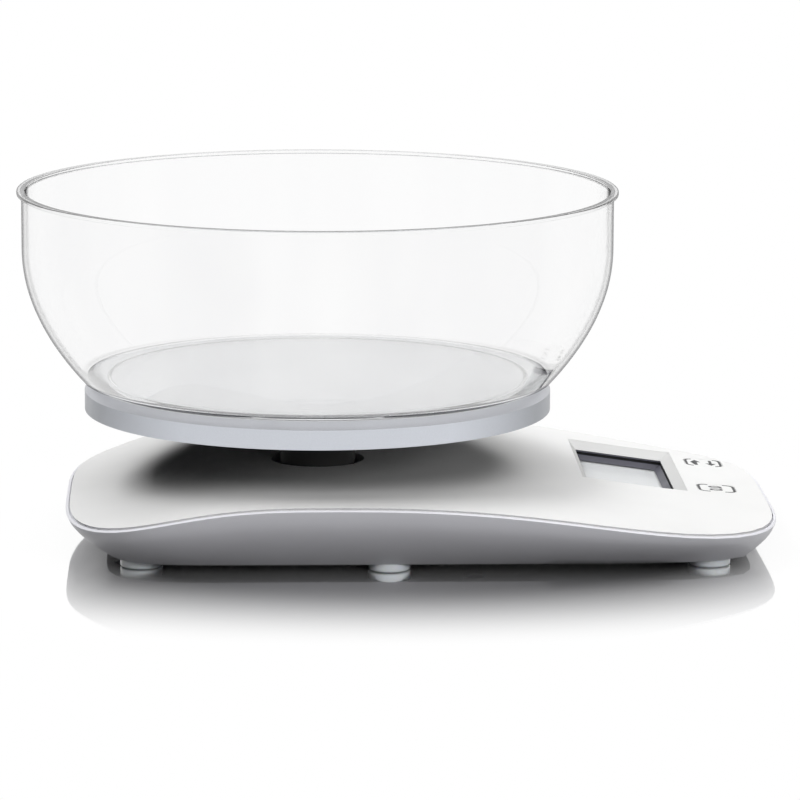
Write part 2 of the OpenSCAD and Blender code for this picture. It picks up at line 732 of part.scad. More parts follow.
module lcd_panel() color([0.78, 0.79, 0.79]) placed() at_window()
    block([window_w + free, window_l + free, lcd_t - seat], [0, 0, lcd_top - lcd_t + seat]);

module lcd_tray() color([0.35, 0.35, 0.38]) placed() at_window() difference() {
    block([tray_w, tray_l, tray_top - tray_low], [0, 0, tray_low]);
    block([window_w + 2 * free, window_l + 2 * free, BIG], [0, 0, tray_low + tray_floor]);
    // Slot in the rear wall for the ribbon
    block([ribbon_w + 10, 4 * tray_wall, tray_floor + lcd_t + 1], [ribbon_x, window_l / 2, tray_low - 1]);
}

// The ribbon leaves the panel's rear edge and comes down onto the main board
module lcd_ribbon() color([0.85, 0.6, 0.2]) placed() {
    panel_y = -window_t + (window_l + free) / 2 * cos(window_tilt);
    panel_z = edge_z(window_t) + (window_l / 2) * sin(window_tilt) + (lcd_top - lcd_t / 2) * cos(window_tilt);
    low = [
        [panel_y + 1.2, panel_z], [-board_t1 - 3, panel_z - 0.4],
        [-board_t1 + 1.5, board_top + seat], [-board_t1 + 5, board_top + seat]
    ];
    translate([window_x + ribbon_x - ribbon_w / 2, 0, 0]) rotate([90, 0, 90]) linear_extrude(ribbon_w)
        polygon(concat(low, [for (i = [3:-1:0]) low[i] + [0, contact_t]]));
}

module main_board() color([0.13, 0.42, 0.22]) placed() difference() {
    translate([board_x0, -board_t1, board_z]) cube([board_w, board_l, board_t]);
    for (p = BOARD_SCREWS) translate([p.x, p.y, board_z - 1])
        cylinder(h = board_t + 2, r = board_screw_r + seat);
}

module board_screws() color([0.7, 0.7, 0.72]) placed()
    for (p = BOARD_SCREWS) translate([p.x, p.y, board_top]) mirror([0, 0, 1])
        screw(board_screw_r, board_head_r, 1, board_t + standoff_h);

module processor_chip() color([0.1, 0.1, 0.11]) placed()
    block([chip_w, chip_w, 1.6], [board_x0 + board_w / 2, -(board_t0 + board_t1) / 2, board_top]);

// Small capacitors in a row, a crystal can and the plug of the load cell
module board_parts() color([0.75, 0.6, 0.35]) placed() translate([board_x0, -board_t0, board_top]) {
    for (i = [0:4]) block([1.4, 2.4, 0.8], [7 + i * 4, -5, 0]);
    translate([board_w - 8, -12, 0]) cylinder(h = 3, r = 1.6);
    block([3.5, 8, 2.2], [6, -14, 0]);
}

module key_board() color([0.13, 0.42, 0.22]) placed()
    translate([key_x, -switch_t, key_board_z]) linear_extrude(key_board_t)
        rounded(key_span + switch_w + 2, key_board_l, key_board_l / 2 - 0.2);

module tact_switches() color([0.15, 0.15, 0.16]) placed()
    for (x = key_xs) translate([x, -switch_t, 0]) difference() {
        block([switch_w, switch_w, switch_top - key_board_top], [0, 0, key_board_top]);
        translate([0, 0, switch_top - key_travel - free]) cylinder(h = BIG, r = plunger_r + free);
    }

module key(x) color([0.93, 0.93, 0.92]) placed() {
    at_key(x, 0, -key_depth, 0);
    key_ears(x, 0, -ear_top - ear_t, -ear_top);
    translate([x, -switch_t, switch_top + plunger_h])
        cylinder(h = key_z - cover_t - switch_top - plunger_h, r = plunger_r + 0.7);
}
module tare_key() key(key_xs[0]);
module unit_key() key(key_xs[1]);

module plunger(x) color([0.8, 0.3, 0.2]) placed()
    translate([x, -switch_t, switch_top]) cylinder(h = plunger_h, r = plunger_r);
module tare_plunger() plunger(key_xs[0]);
module unit_plunger() plunger(key_xs[1]);

module coin_cell() color([0.8, 0.8, 0.82]) placed() translate([coin_x, battery_y, coin_z]) {
    cap_h = 0.5;
    cylinder(h = coin_h - cap_h, r = coin_r);
    translate([0, 0, coin_h - cap_h]) cylinder(h = cap_h, r = coin_r - 1.2);
}

// Blade against the cell's side, and a leaf bent down onto its upper face
module plus_contact() color([0.8, 0.72, 0.4]) placed()
    block([contact_t, slot_w - 0.4, bay_top - coin_z],
        [coin_x - coin_r - seat - contact_t / 2, battery_y, coin_z]);

module minus_contact() color([0.8, 0.72, 0.4]) placed() {
    drop = bay_top - coin_z - coin_h - seat;
    low = [[-7, -contact_t], [-2, -drop], [2, -drop], [7, -contact_t]];
    translate([coin_x, battery_y + 2, bay_top]) rotate([90, 0, 0]) linear_extrude(4)
        polygon(concat(low, [for (i = [3:-1:0]) low[i] + [0, contact_t]]));
}

module battery_door() color([0.80, 0.80, 0.82]) placed() difference() {
    union() {
        block([door_w, door_w, door_t], [door_x, battery_y, door_z]);
        block([door_w, door_l, tongue_h], [door_x, battery_y, tongue_z]);
    }
    // Grip grooves
    for (i = [-1.5:1.5]) block([0.8, door_w / 2, 0.6], [door_x + 2 * i, battery_y, door_z - 0.1]);
}

// Each set of wires: from its piece over open ground to the boards, side by side
module sensor_wires() color([0.75, 0.2, 0.2]) placed()
    for (i = [0:3]) wire([
        [cell_w / 2 + wire_r + seat, 2.2 * i - 3, cell_mid + 2],
        [cell_w / 2 + 3 + 2 * i, -8, cell_z + 1],
        [board_x0 + 7 + 2 * i, 4 - board_t0, board_top + 2],
        [board_x0 + 7 + 2 * i, -2 - board_t0, board_top + wire_r]
    ], wire_r);

module battery_wires() color([0.15, 0.15, 0.16]) placed()
    for (i = [0, 1]) wire([
        [bay_x - 2.6, battery_y - 2 + 4 * i, bay_roof + wire_r + seat],
        [bay_x - 6 - 2 * i, battery_y - 2 * slot_w, bay_roof + wire_r + seat],
        [board_x0 + board_w - 10 - 2 * i, 5 - board_t0, board_top + 2],
        [board_x0 + board_w - 10 - 2 * i, -2 - board_t0, board_top + wire_r]
    ], wire_r);

module key_wires() color([0.9, 0.8, 0.2]) placed()
    for (i = [0:2]) let (lane_x = window_x - window_w / 2 - 6 - 1.6 * i) wire([
        [board_x0 + 2, 2 * i - (board_t0 + board_t1) / 2, board_top + wire_r + seat],
        [lane_x, 8 - board_t1 + 2 * i, board_top + 1],
        [lane_x, 12 - switch_t, key_board_z + 1],
        [key_xs[0] - switch_w / 2 - 0.8, 2 - switch_t - 2 * i, key_board_top + wire_r + seat]
    ], wire_r);

lower_casing();
upper_cover();
rear_left_foot();
rear_right_foot();
middle_left_foot();
middle_right_foot();
front_left_foot();
front_right_foot();
casing_screws();
spreader_plate();
load_cell();
strain_gauges();
cell_screws();
carrier_arm();
arm_screws();
platform_post();
post_screws();
platform_disc();
platform_screws();
bowl();
display_film();
lcd_panel();
lcd_tray();
lcd_ribbon();
main_board();
board_screws();
processor_chip();
board_parts();
key_board();
tact_switches();
tare_key();
unit_key();
tare_plunger();
unit_plunger();
coin_cell();
plus_contact();
minus_contact();
battery_door();
sensor_wires();
battery_wires();
key_wires();
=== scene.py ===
import bmesh
import bpy
from math import atan2, cos, pi, radians, sin, sqrt
from mathutils import Matrix, Vector


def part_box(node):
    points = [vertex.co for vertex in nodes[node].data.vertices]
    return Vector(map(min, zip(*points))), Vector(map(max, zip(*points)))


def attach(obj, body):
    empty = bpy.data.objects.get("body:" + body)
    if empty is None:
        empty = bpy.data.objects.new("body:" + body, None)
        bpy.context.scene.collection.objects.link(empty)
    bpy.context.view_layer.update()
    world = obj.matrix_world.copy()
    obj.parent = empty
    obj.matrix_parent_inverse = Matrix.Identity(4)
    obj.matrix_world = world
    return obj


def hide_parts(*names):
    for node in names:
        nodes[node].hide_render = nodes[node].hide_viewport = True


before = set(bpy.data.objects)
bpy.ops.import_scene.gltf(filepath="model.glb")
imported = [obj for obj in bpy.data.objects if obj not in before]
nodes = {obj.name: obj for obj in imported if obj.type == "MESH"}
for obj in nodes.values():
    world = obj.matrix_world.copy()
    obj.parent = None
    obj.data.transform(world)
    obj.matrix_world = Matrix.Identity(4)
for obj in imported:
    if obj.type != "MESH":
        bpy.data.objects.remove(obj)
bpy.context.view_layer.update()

# Camera: a long lens beside the scale and a little above the bowl's rim. It looks across the
# scale from the user's left, so that the display end lies to the right and slightly further off.
camera_data = bpy.data.cameras.new("camera")
camera_data.lens = 214.0
camera_data.sensor_width = 36.0
camera = bpy.data.objects.new("camera", camera_data)
camera_place = (-1.5096, 0.0602, 0.3220)
camera_heading = radians(-92.35)
camera_pitch = radians(-10.43)
camera_roll = radians(0.24)
camera.matrix_world = (
    Matrix.Translation(camera_place)
    @ Matrix.Rotation(camera_heading, 4, "Z")
    @ Matrix.Rotation(pi / 2 + camera_pitch, 4, "X")
    @ Matrix.Rotation(camera_roll, 4, "Z")
)
bpy.context.scene.collection.objects.link(camera)
bpy.context.scene.camera = camera


# Lower casing: a boat-shaped shell of silver-grey ABS, injection moulded with a fine spark-eroded
# grain. Its lip stands round the cover like a thin bright frame.
class Finish:
    """A material with one Principled shader, whose patterns read the piece's own coordinates."""

    def __init__(self, name, colour, roughness, **values):
        self.material = bpy.data.materials.new(name)
        self.material.use_nodes = True
        self.tree = self.material.node_tree
        self.shader = self.tree.nodes["Principled BSDF"]
        self.colour = (*colour, 1.0)
        self.set("Base Color", self.colour)
        self.set("Roughness", roughness)
        for socket, value in values.items():
            self.set(socket.replace("_", " ").title().replace("Ior", "IOR"), value)
        self.roughness = roughness
        self.place = self.node("ShaderNodeTexCoord").outputs["Object"]

    def set(self, socket, value):
        self.shader.inputs[socket].default_value = value

    def node(self, kind, **values):
        made = self.tree.nodes.new(kind)
        for key, value in values.items():
            setattr(made, key, value)
        return made

    def link(self, output, target):
        self.tree.links.new(output, target)

    def noise(self, size, stretch=(1, 1, 1), detail=2.0):
        """Noise whose lumps are about size metres across, drawn out along the axes by stretch."""
        mapping = self.node("ShaderNodeMapping")
        mapping.inputs["Scale"].default_value = [1 / (size * s) for s in stretch]
        noise = self.node("ShaderNodeTexNoise")
        noise.inputs["Scale"].default_value = 1.0
        noise.inputs["Detail"].default_value = detail
        self.link(self.place, mapping.inputs["Vector"])
        self.link(mapping.outputs["Vector"], noise.inputs["Vector"])
        return noise.outputs["Fac"]

    def ranged(self, value, start, end, low=0.0, high=1.0, kind="LINEAR"):
        """The value from start to end, stretched to run from low to high."""
        stretched = self.node("ShaderNodeMapRange", interpolation_type=kind)
        limits = {"From Min": start, "From Max": end, "To Min": low, "To Max": high}
        for socket, limit in limits.items():
            stretched.inputs[socket].default_value = limit
        self.link(value, stretched.inputs["Value"])
        return stretched.outputs["Result"]

    def spread(self, pattern, low, high):
        """The middle range of a noise, stretched to run from low to high."""
        return self.ranged(pattern, 0.3, 0.7, low, high)

    def blend(self, share, first, second):
        """A shader that goes from the first to the second as share goes from 0 to 1."""
        mix = self.node("ShaderNodeMixShader")
        for output, target in zip((share, first, second), mix.inputs):
            self.link(output, target)
        return mix.outputs[0]

    def show(self, shader):
        self.link(shader, self.tree.nodes["Material Output"].inputs["Surface"])

    def tint(self, pattern, colour):
        """Colour that drifts from the finish's own to another one where the pattern is high."""
        mix = self.node("ShaderNodeMix", data_type="RGBA")
        mix.inputs[6].default_value = self.colour
        mix.inputs[7].default_value = (*colour, 1.0)
        self.link(self.spread(pattern, 0.0, 1.0), mix.inputs[0])
        self.link(mix.outputs[2], self.shader.inputs["Base Color"])

    def vary(self, pattern, amount):
        """Roughness that wanders by amount either way."""
        spread = self.spread(pattern, self.roughness - amount, self.roughness + amount)
        self.link(spread, self.shader.inputs["Roughness"])

    def bump(self, pattern, depth):
        bump = self.node("ShaderNodeBump")
        bump.inputs["Distance"].default_value = depth
        self.link(pattern, bump.inputs["Height"])
        self.link(bump.outputs["Normal"], self.shader.inputs["Normal"])


def moulded(name, colour, roughness=0.4, grain=0.0004, depth=0.000008, **values):
    """Moulded plastic: spark-eroded grain, with a faint drift in colour and gloss."""
    finish = Finish(name, colour, roughness, **values)
    finish.tint(finish.noise(0.03), [c * 0.97 for c in colour])
    finish.vary(finish.noise(0.008), 0.04)
    finish.bump(finish.noise(grain, detail=1.0), depth)
    return finish.material


def dress(node, material):
    """Gives a CAD piece its material, in every slot that it has."""
    mesh = nodes[node].data
    mesh.materials.clear()
    mesh.materials.append(material)


def add_piece(name, mesh, material, body, replaced=()):
    """Makes a bmesh a piece of the scale: finished with material, and moving with a body."""
    data = bpy.data.meshes.new(name)
    mesh.to_mesh(data)
    mesh.free()
    data.materials.append(material)
    piece = bpy.data.objects.new(name, data)
    bpy.context.scene.collection.objects.link(piece)
    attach(piece, body)
    if replaced:
        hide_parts(*replaced)
    return piece


def polish(mesh, sharp=radians(28)):
    """Smooth shading over every edge that turns by less than the sharp angle."""
    for face in mesh.faces:
        face.smooth = True
    for edge in mesh.edges:
        edge.smooth = len(edge.link_faces) == 2 and edge.calc_face_angle(pi) < sharp


def smooth_copy(name, node, material, body, sharp=radians(28)):
    """The node's own surface with its triangles joined, so that light runs evenly over it."""
    mesh = bmesh.new()
    mesh.from_mesh(nodes[node].data)
    bmesh.ops.remove_doubles(mesh, verts=mesh.verts, dist=1e-6)
    for face in mesh.faces:
        face.material_index = 0
    polish(mesh, sharp)
    return add_piece(name, mesh, material, body, [node])


silver_abs = moulded("silver_abs", (0.76, 0.76, 0.805), 0.36, specular_ior_level=0.4)
smooth_copy("casing_shell", "lower_casing", silver_abs, "base")

# Feet: six soft pads of translucent white rubber, each pressed into the casing's floor by a
# spigot. Their rims are rounded and slightly shiny from handling.
foot_rubber = moulded(
    "foot_rubber", (0.80, 0.80, 0.81), 0.22, grain=0.0008, subsurface_weight=0.15, coat_weight=0.5
)
for side in ("left", "right"):
    for row in ("rear", "middle", "front"):
        node = f"{row}_{side}_foot"
        smooth_copy(f"{node}_pad", node, foot_rubber, "base")


# Load cell: a milled aluminium bar on a zinc-plated spreader plate. Strain gauges under white
# sealant sit over its bores, and two steel screws hold its fixed end from below.
def metal(name, colour, roughness=0.32, stretch=(1, 12, 1), marks=0.0006):
    """Bare or plated metal with fine drawn marks along one axis."""
    finish = Finish(name, colour, roughness, metallic=1.0)
    finish.tint(finish.noise(0.02), [c * 0.9 for c in colour])
    finish.vary(finish.noise(marks, stretch), 0.1)
    finish.bump(finish.noise(marks, stretch), 0.000006)
    return finish.material


milled_aluminium = metal("milled_aluminium", (0.78, 0.79, 0.80))
plated_steel = metal("plated_steel", (0.66, 0.68, 0.71), 0.28, (1, 1, 1), 0.003)
screw_steel = metal("screw_steel", (0.60, 0.60, 0.62), 0.25, (1, 1, 8))
gauge_sealant = moulded("gauge_sealant", (0.84, 0.82, 0.75), 0.55, 0.0012, 0.00005)
dress("load_cell", milled_aluminium)
dress("spreader_plate", plated_steel)
dress("cell_screws", screw_steel)
dress("strain_gauges", gauge_sealant)

# Carrier arm: a stamped and plated steel arm, screwed onto the bar's free end. It brings the
# load back to the middle of the platform.
dress("carrier_arm", plated_steel)
dress("arm_screws", screw_steel)

# Battery: a lithium coin cell that drops into a moulded bay from below. A blade touches its side,
# a bent leaf its flat face, and a ribbed door slides over it.
dress("coin_cell", metal("coin_steel", (0.74, 0.74, 0.76), 0.2, (1, 1, 1), 0.0015))
spring_brass = metal("spring_brass", (0.78, 0.65, 0.33), 0.22)
dress("plus_contact", spring_brass)
dress("minus_contact", spring_brass)
dress("battery_door", silver_abs)

# Boards: green glass-fibre laminate on moulded standoffs, with the processor under a black
# moulding, a row of small ceramic parts and thin self-tapping screws.
laminate = Finish("board_laminate", (0.03, 0.20, 0.08), 0.3, coat_weight=0.4)
laminate.tint(laminate.noise(0.0015, (1, 4, 1)), (0.05, 0.32, 0.13))
laminate.bump(laminate.noise(0.0012, (1, 4, 1)), 0.00002)
chip_black = moulded("chip_black", (0.02, 0.02, 0.022), 0.5)
dress("main_board", laminate.material)
dress("key_board", laminate.material)
dress("board_screws", screw_steel)
dress("processor_chip", chip_black)
dress("tact_switches", chip_black)
dress("board_parts", moulded("ceramic_tan", (0.50, 0.36, 0.20), 0.45))

# Wires: thin stranded leads in coloured insulation, from the gauges, the battery and the keys to
# the main board. They lie loose over the casing's floor.
dress("sensor_wires", moulded("red_insulation", (0.55, 0.03, 0.025), 0.4))
dress("battery_wires", moulded("black_insulation", (0.02, 0.02, 0.022), 0.4))
dress("key_wires", moulded("yellow_insulation", (0.75, 0.58, 0.06), 0.4))

# Display: a grey liquid crystal panel in a dark tray, under a clear film. A collar slopes in from
# the cover to the film, black foam seals it to the cover, and a ribbon joins the main board. The
# foam's black is partly painted shade: it stands for the shadow in the gap under the cover's window.
tray_plastic = moulded("tray_plastic", (0.085, 0.085, 0.105), 0.45)
# Near-black foam: partly a real seal, partly painted shade for the gap under the window's edge.
seal_foam_and_shade = moulded("seal_foam_and_shade", (0.006, 0.006, 0.007), 0.9, 0.0005, 0.00003)
seal_h = 0.0009
collar_in = 0.0019
collar_h = 0.0025
edge_fit = 0.00005


def flat_place(node):
    """Place, width and length of a node's topmost flat face, which may slope along Y."""
    mesh = nodes[node].data
    faces = [face for face in mesh.polygons if face.normal.z > 0.9]
    reach = max(face.normal.dot(face.center) for face in faces)
    faces = [face for face in faces if face.normal.dot(face.center) > reach - 1e-5]
    points = [mesh.vertices[i].co for face in faces for i in face.vertices]
    low = Vector([min(point[axis] for point in points) for axis in range(3)])
    high = Vector([max(point[axis] for point in points) for axis in range(3)])
    normal = faces[0].normal
    turn = Matrix.Rotation(atan2(-normal.y, normal.z), 4, "X")
    place = Matrix.Translation((low + high) / 2) @ turn
    return place, high.x - low.x, sqrt((high.y - low.y) ** 2 + (high.z - low.z) ** 2)


def band_of_walls(rings, place):
    """A closed collar of four walls, from the corners' half width, half length and height."""
    mesh = bmesh.new()
    signs = [(-1, -1), (1, -1), (1, 1), (-1, 1)]
    corners = [[mesh.verts.new((w * x, l * y, z)) for x, y in signs] for w, l, z in rings]
    for ring, after in zip(corners, corners[1:] + corners[:1]):
        for i in range(4):
            mesh.faces.new((ring[i], ring[i - 1], after[i - 1], after[i]))
    bmesh.ops.recalc_face_normals(mesh, faces=mesh.faces)
    bmesh.ops.transform(mesh, matrix=place, verts=mesh.verts)
    return mesh


smooth_copy("display_tray", "lcd_tray", tray_plastic, "base")
film_place, film_w, film_l = flat_place("display_film")
outer_w = film_w / 2 - edge_fit
outer_l = film_l / 2 - edge_fit
rings = [
    (outer_w - collar_in, outer_l - collar_in, edge_fit),
    (outer_w, outer_l, collar_h - seal_h),
    (outer_w, outer_l, edge_fit),
]
add_piece("display_collar", band_of_walls(rings, film_place), tray_plastic, "base")
rings = [
    (outer_w, outer_l, collar_h - seal_h),
    (outer_w, outer_l, collar_h),
    (outer_w + edge_fit, outer_l + edge_fit, collar_h),
    (outer_w + edge_fit, outer_l + edge_fit, collar_h - seal_h),
]
add_piece("display_seal", band_of_walls(rings, film_place), seal_foam_and_shade, "base")
panel = Finish("lcd_grey", (0.72, 0.725, 0.73), 0.3)
panel.tint(panel.noise(0.02), (0.69, 0.70, 0.705))
panel.bump(panel.noise(0.0003), 0.000003)
dress("lcd_panel", panel.material)
film = Finish("clear_film", (0.9, 0.93, 0.95), 0.05, alpha=0.12)
film.vary(film.noise(0.02), 0.02)
dress("display_film", film.material)
ribbon = Finish("amber_film", (0.62, 0.30, 0.06), 0.25, coat_weight=0.5)
ribbon.tint(ribbon.noise(0.0008, (1, 40, 40)), (0.70, 0.42, 0.16))
dress("lcd_ribbon", ribbon.material)

# Keys: two white caps, flush with the cover, that click the switches below them. Ears on their
# sides keep them in, and each has a printed outline that its legend interrupts.
white_abs = moulded("white_abs", (0.82, 0.82, 0.815), 0.5, specular_ior_level=0.0)
print_ink = moulded("print_ink", (0.012, 0.012, 0.014), 0.5, 0.0003, 0.000002)
print_t = 0.00003
print_w = 0.0008
print_inset = 0.00005
print_gaps = {"tare": 0.0048, "unit": 0.0072}
key_corner = 0.0026
corner_steps = 6
letter_h = 0.0042
letter_bold = 0.00012
cap_share = 0.7
arrow_l = 0.0082
arrow_h = 0.0034
arrow_step = 0.0050
shaft_share = 0.14
red_plunger = moulded("red_plunger", (0.45, 0.05, 0.04), 0.4)
for name in ("tare", "unit"):
    dress(f"{name}_plunger", red_plunger)
    smooth_copy(f"{name}_cap", f"{name}_key", white_abs, f"{name}_key")


def rounded_loop(mesh, half_w, half_l, corner, z):
    """Vertices round a rectangle with round corners."""
    loop = []
    for quarter, (x, y) in enumerate([(1, 1), (-1, 1), (-1, -1), (1, -1)]):
        for step in range(corner_steps + 1):
            angle = pi / 2 * (quarter + step / corner_steps)
            place = (x * (half_w - corner) + corner * cos(angle),
                     y * (half_l - corner) + corner * sin(angle), z)
            loop.append(mesh.verts.new(place))
    return loop


def key_outline(key_w, key_l, gap):
    """Printed line just inside a key's edge, left open in the middle of both sides."""
    mesh = bmesh.new()
    half_w = key_w / 2 - print_inset
    half_l = key_l / 2 - print_inset
    corner = key_corner - print_inset
    outer = rounded_loop(mesh, half_w, half_l, corner, print_t)
    inner = rounded_loop(mesh, half_w - print_w, half_l - print_w, corner - print_w, print_t)
    for i in range(len(outer)):
        mesh.faces.new((outer[i - 1], outer[i], inner[i], inner[i - 1]))
    for y in (gap / 2, -gap / 2):
        everything = mesh.verts[:] + mesh.edges[:] + mesh.faces[:]
        bmesh.ops.bisect_plane(mesh, geom=everything, plane_co=(0, y, 0), plane_no=(0, 1, 0))
    open_part = [face for face in mesh.faces if abs(face.calc_center_median().y) < gap / 2]
    bmesh.ops.delete(mesh, geom=open_part, context="FACES")
    return mesh


def word(mesh, text, y, height):
    """Adds flat print, centred on X, at a distance along Y."""
    curve = bpy.data.curves.new(text, "FONT")
    curve.body = text
    curve.size = height / cap_share
    curve.align_x = "CENTER"
    curve.align_y = "CENTER"
    curve.offset = letter_bold
    holder = bpy.data.objects.new(text, curve)
    letters = bpy.data.meshes.new_from_object(holder)
    letters.transform(Matrix.Translation((0, y, print_t)))
    mesh.from_mesh(letters)
    bpy.data.objects.remove(holder)
    bpy.data.meshes.remove(letters)


def arrow(mesh, way, y, length, height):
    """Adds a flat arrow that points along X, one way or the other."""
    tip, neck, shaft, wing = length / 2, length / 2 - height, height * shaft_share, height / 2
    outline = [(-tip, -shaft), (neck, -shaft), (neck, -wing), (tip, 0), (neck, wing), (neck, shaft)]
    outline.append((-tip, shaft))
    mesh.faces.new([mesh.verts.new((way * x, y + across, print_t)) for x, across in outline])


for name in ("tare", "unit"):
    place, key_w, key_l = flat_place(f"{name}_key")
    mesh = key_outline(key_w, key_l, print_gaps[name])
    if name == "unit":
        arrow(mesh, 1, arrow_step / 2, arrow_l, arrow_h)
        arrow(mesh, -1, -arrow_step / 2, arrow_l, arrow_h)
    else:
        word(mesh, "0.0", 0, letter_h)
    bmesh.ops.triangulate(mesh, faces=mesh.faces)
    bmesh.ops.recalc_face_normals(mesh, faces=mesh.faces)
    bmesh.ops.solidify(mesh, geom=mesh.faces, thickness=print_t)
    bmesh.ops.transform(mesh, matrix=place, verts=mesh.verts)
    add_piece(f"{name}_legend", mesh, print_ink, f"{name}_key")

# Cover: white satin ABS, dropped into the casing's lip and pulled down by the casing's screws. A
# sloped surround leads down to the display; its slightly greyer tone is painted shade on the same ABS.
surround_w = 0.006
surround_slopes = (0.1, 0.95)
cover = smooth_copy("cover_shell", "upper_cover", white_abs, "base", radians(20))
# Painted shade: the surround's sloped faces get a greyer copy of the white ABS.
cover.data.materials.append(moulded("surround_painted_shade", (0.66, 0.66, 0.655), 0.5, specular_ior_level=0.0))
to_film = film_place.inverted()
for face in cover.data.polygons:
    centre = to_film @ face.center
    rise = (to_film.to_3x3() @ face.normal).z
    beside = abs(centre.x) < film_w / 2 + surround_w and abs(centre.y) < film_l / 2 + surround_w
    if beside and surround_slopes[0] < rise < surround_slopes[1]:
        face.material_index = 1
dress("casing_screws", screw_steel)

# Platform: a silver-painted moulding on a dark post, which four screws hold to the post's flange.
# The post stands on the carrier arm and goes down through the cover. The underside is unpainted.
# The paint is split by slope into lit and shaded tones: a darker shoulder is painted shade, and a
# lighter, bluer band is painted light that is shaded where it turns away. The near-black post and
# underside are partly painted shade for the gap above the cover.
# Painted shade on the band: its colour darkens between these facings, where it turns away from view.
turned_shade_start = 0.2
turned_shade_full = 0.65
under_below = -0.5
band_below = 0.3
shoulder_below = 0.9
# The post's near-black tone is partly its own plastic, partly painted shade for the gap under the
# platform.
post_plastic = moulded("post_plastic", (0.07, 0.07, 0.07), 0.6, specular_ior_level=0.1)
smooth_copy("post_stem", "platform_post", post_plastic, "platform")


def metallic_paint(name, colour, metallic, turned_shade=None):
    """Sprayed paint with fine metal flakes; given a shade tone, painted shade darkens it where it
    turns away from view.
    """
    paint = Finish(name, colour, 0.36, metallic=metallic)
    paint.tint(paint.noise(0.0003), [c * 1.06 for c in colour])
    if turned_shade:
        # Painted shade: the colour is multiplied down where the surface turns away from view.
        turned = paint.node("ShaderNodeMix", data_type="RGBA", blend_type="MULTIPLY")
        turned.inputs[7].default_value = (turned_shade, turned_shade, turned_shade, 1.0)
        facing = paint.node("ShaderNodeLayerWeight").outputs["Facing"]
        paint.link(paint.ranged(facing, turned_shade_start, turned_shade_full), turned.inputs[0])
        drift = paint.shader.inputs["Base Color"].links[0].from_socket
        paint.link(drift, turned.inputs[6])
        paint.link(turned.outputs[2], paint.shader.inputs["Base Color"])
    paint.vary(paint.noise(0.006), 0.04)
    paint.bump(paint.noise(0.0006), 0.000006)
    return paint.material


silver_top = metallic_paint("silver_top", (0.53, 0.54, 0.55), 0.2)
plate = smooth_copy("platform_plate", "platform_disc", silver_top, "platform")
# Near-black underside: partly its bare moulding, partly painted shade over the gap above the cover.
plate.data.materials.append(moulded("bare_moulding_and_shade", (0.04, 0.04, 0.045), 0.7, specular_ior_level=0.1))
# Shoulder and band are copies of one silver paint: the shoulder's darker tone is painted shade, the
# band's lighter, bluer tone painted light.
plate.data.materials.append(metallic_paint("silver_shoulder_painted_shade", (0.46, 0.47, 0.50), 0.3))
plate.data.materials.append(metallic_paint("silver_band_painted_light_and_shade", (0.63, 0.655, 0.705), 0.6, 0.5))
for face in plate.data.polygons:
    if face.normal.z < under_below:
        face.material_index = 1
    elif face.normal.z < band_below:
        face.material_index = 3
    elif face.normal.z < shoulder_below:
        face.material_index = 2
dress("post_screws", screw_steel)
dress("platform_screws", screw_steel)

# Bowl: clear styrene, moulded in one piece with a flat floor, a shallow recess under it and a
# thickened rim. It only rests on the platform. Its wall is darkened with painted shade where it is
# seen edge-on, and it lets the lamps' light through.
bowl_low, bowl_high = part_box("bowl")
bowl_centre = (bowl_low + bowl_high) / 2
rim_r = (bowl_high.x - bowl_low.x) / 2
bowl_h = bowl_high.z - bowl_low.z
rim_out = 0.0015
rim_h = 0.0012
side_r = rim_r - rim_out
bowl_wall = 0.0012
bowl_floor = 0.0020
foot_r = 0.072
recess_r = 0.067
recess_h = 0.0005
bevel_h = 0.0014
upright_h = 0.0434
side_curve = 10.8
side_steps = 24
round_steps = 144
edge_start = 0.825
edge_full = 0.92
painted_edge_shade_share = 0.62


def side_at(z):
    """Outer radius of the bowl's side at height z above its base."""
    return side_r - side_curve * max(0.0, upright_h - z) ** 2


def inner_at(z):
    """Inner radius at height z: the wall keeps its thickness square to the side."""
    slope = 2 * side_curve * max(0.0, upright_h - z)
    return side_at(z) - bowl_wall * sqrt(1 + slope * slope)


def heights(low, high):
    return [low + (high - low) * i / side_steps for i in range(side_steps + 1)]


profile = [(0, recess_h), (recess_r, recess_h), (recess_r + recess_h, 0), (foot_r, 0)]
profile += [(side_at(z), z) for z in heights(bevel_h, upright_h)]
profile += [(side_r, bowl_h - rim_h), (rim_r, bowl_h - rim_h), (rim_r, bowl_h)]
profile += [(side_r - bowl_wall, bowl_h)]
profile += [(inner_at(z), z) for z in reversed(heights(bowl_floor, upright_h))]
profile += [(0, bowl_floor)]
mesh = bmesh.new()
line = [mesh.verts.new((r, 0, z)) for r, z in profile]
edges = [mesh.edges.new(pair) for pair in zip(line, line[1:])]
bmesh.ops.spin(
    mesh, geom=line + edges, axis=(0, 0, 1), angle=2 * pi, steps=round_steps, use_merge=True
)
bmesh.ops.remove_doubles(mesh, verts=mesh.verts, dist=1e-6)
bmesh.ops.recalc_face_normals(mesh, faces=mesh.faces)
bmesh.ops.translate(mesh, verts=mesh.verts, vec=(bowl_centre.x, bowl_centre.y, bowl_low.z))
polish(mesh)
clear = Finish("clear_styrene", (0.985, 0.985, 0.985), 0.0, transmission_weight=1.0, ior=1.5)
# Faint vertical streaks in the tint: painted reflection.
clear.tint(clear.noise(0.035, (1, 1, 30)), (0.95, 0.95, 0.953))
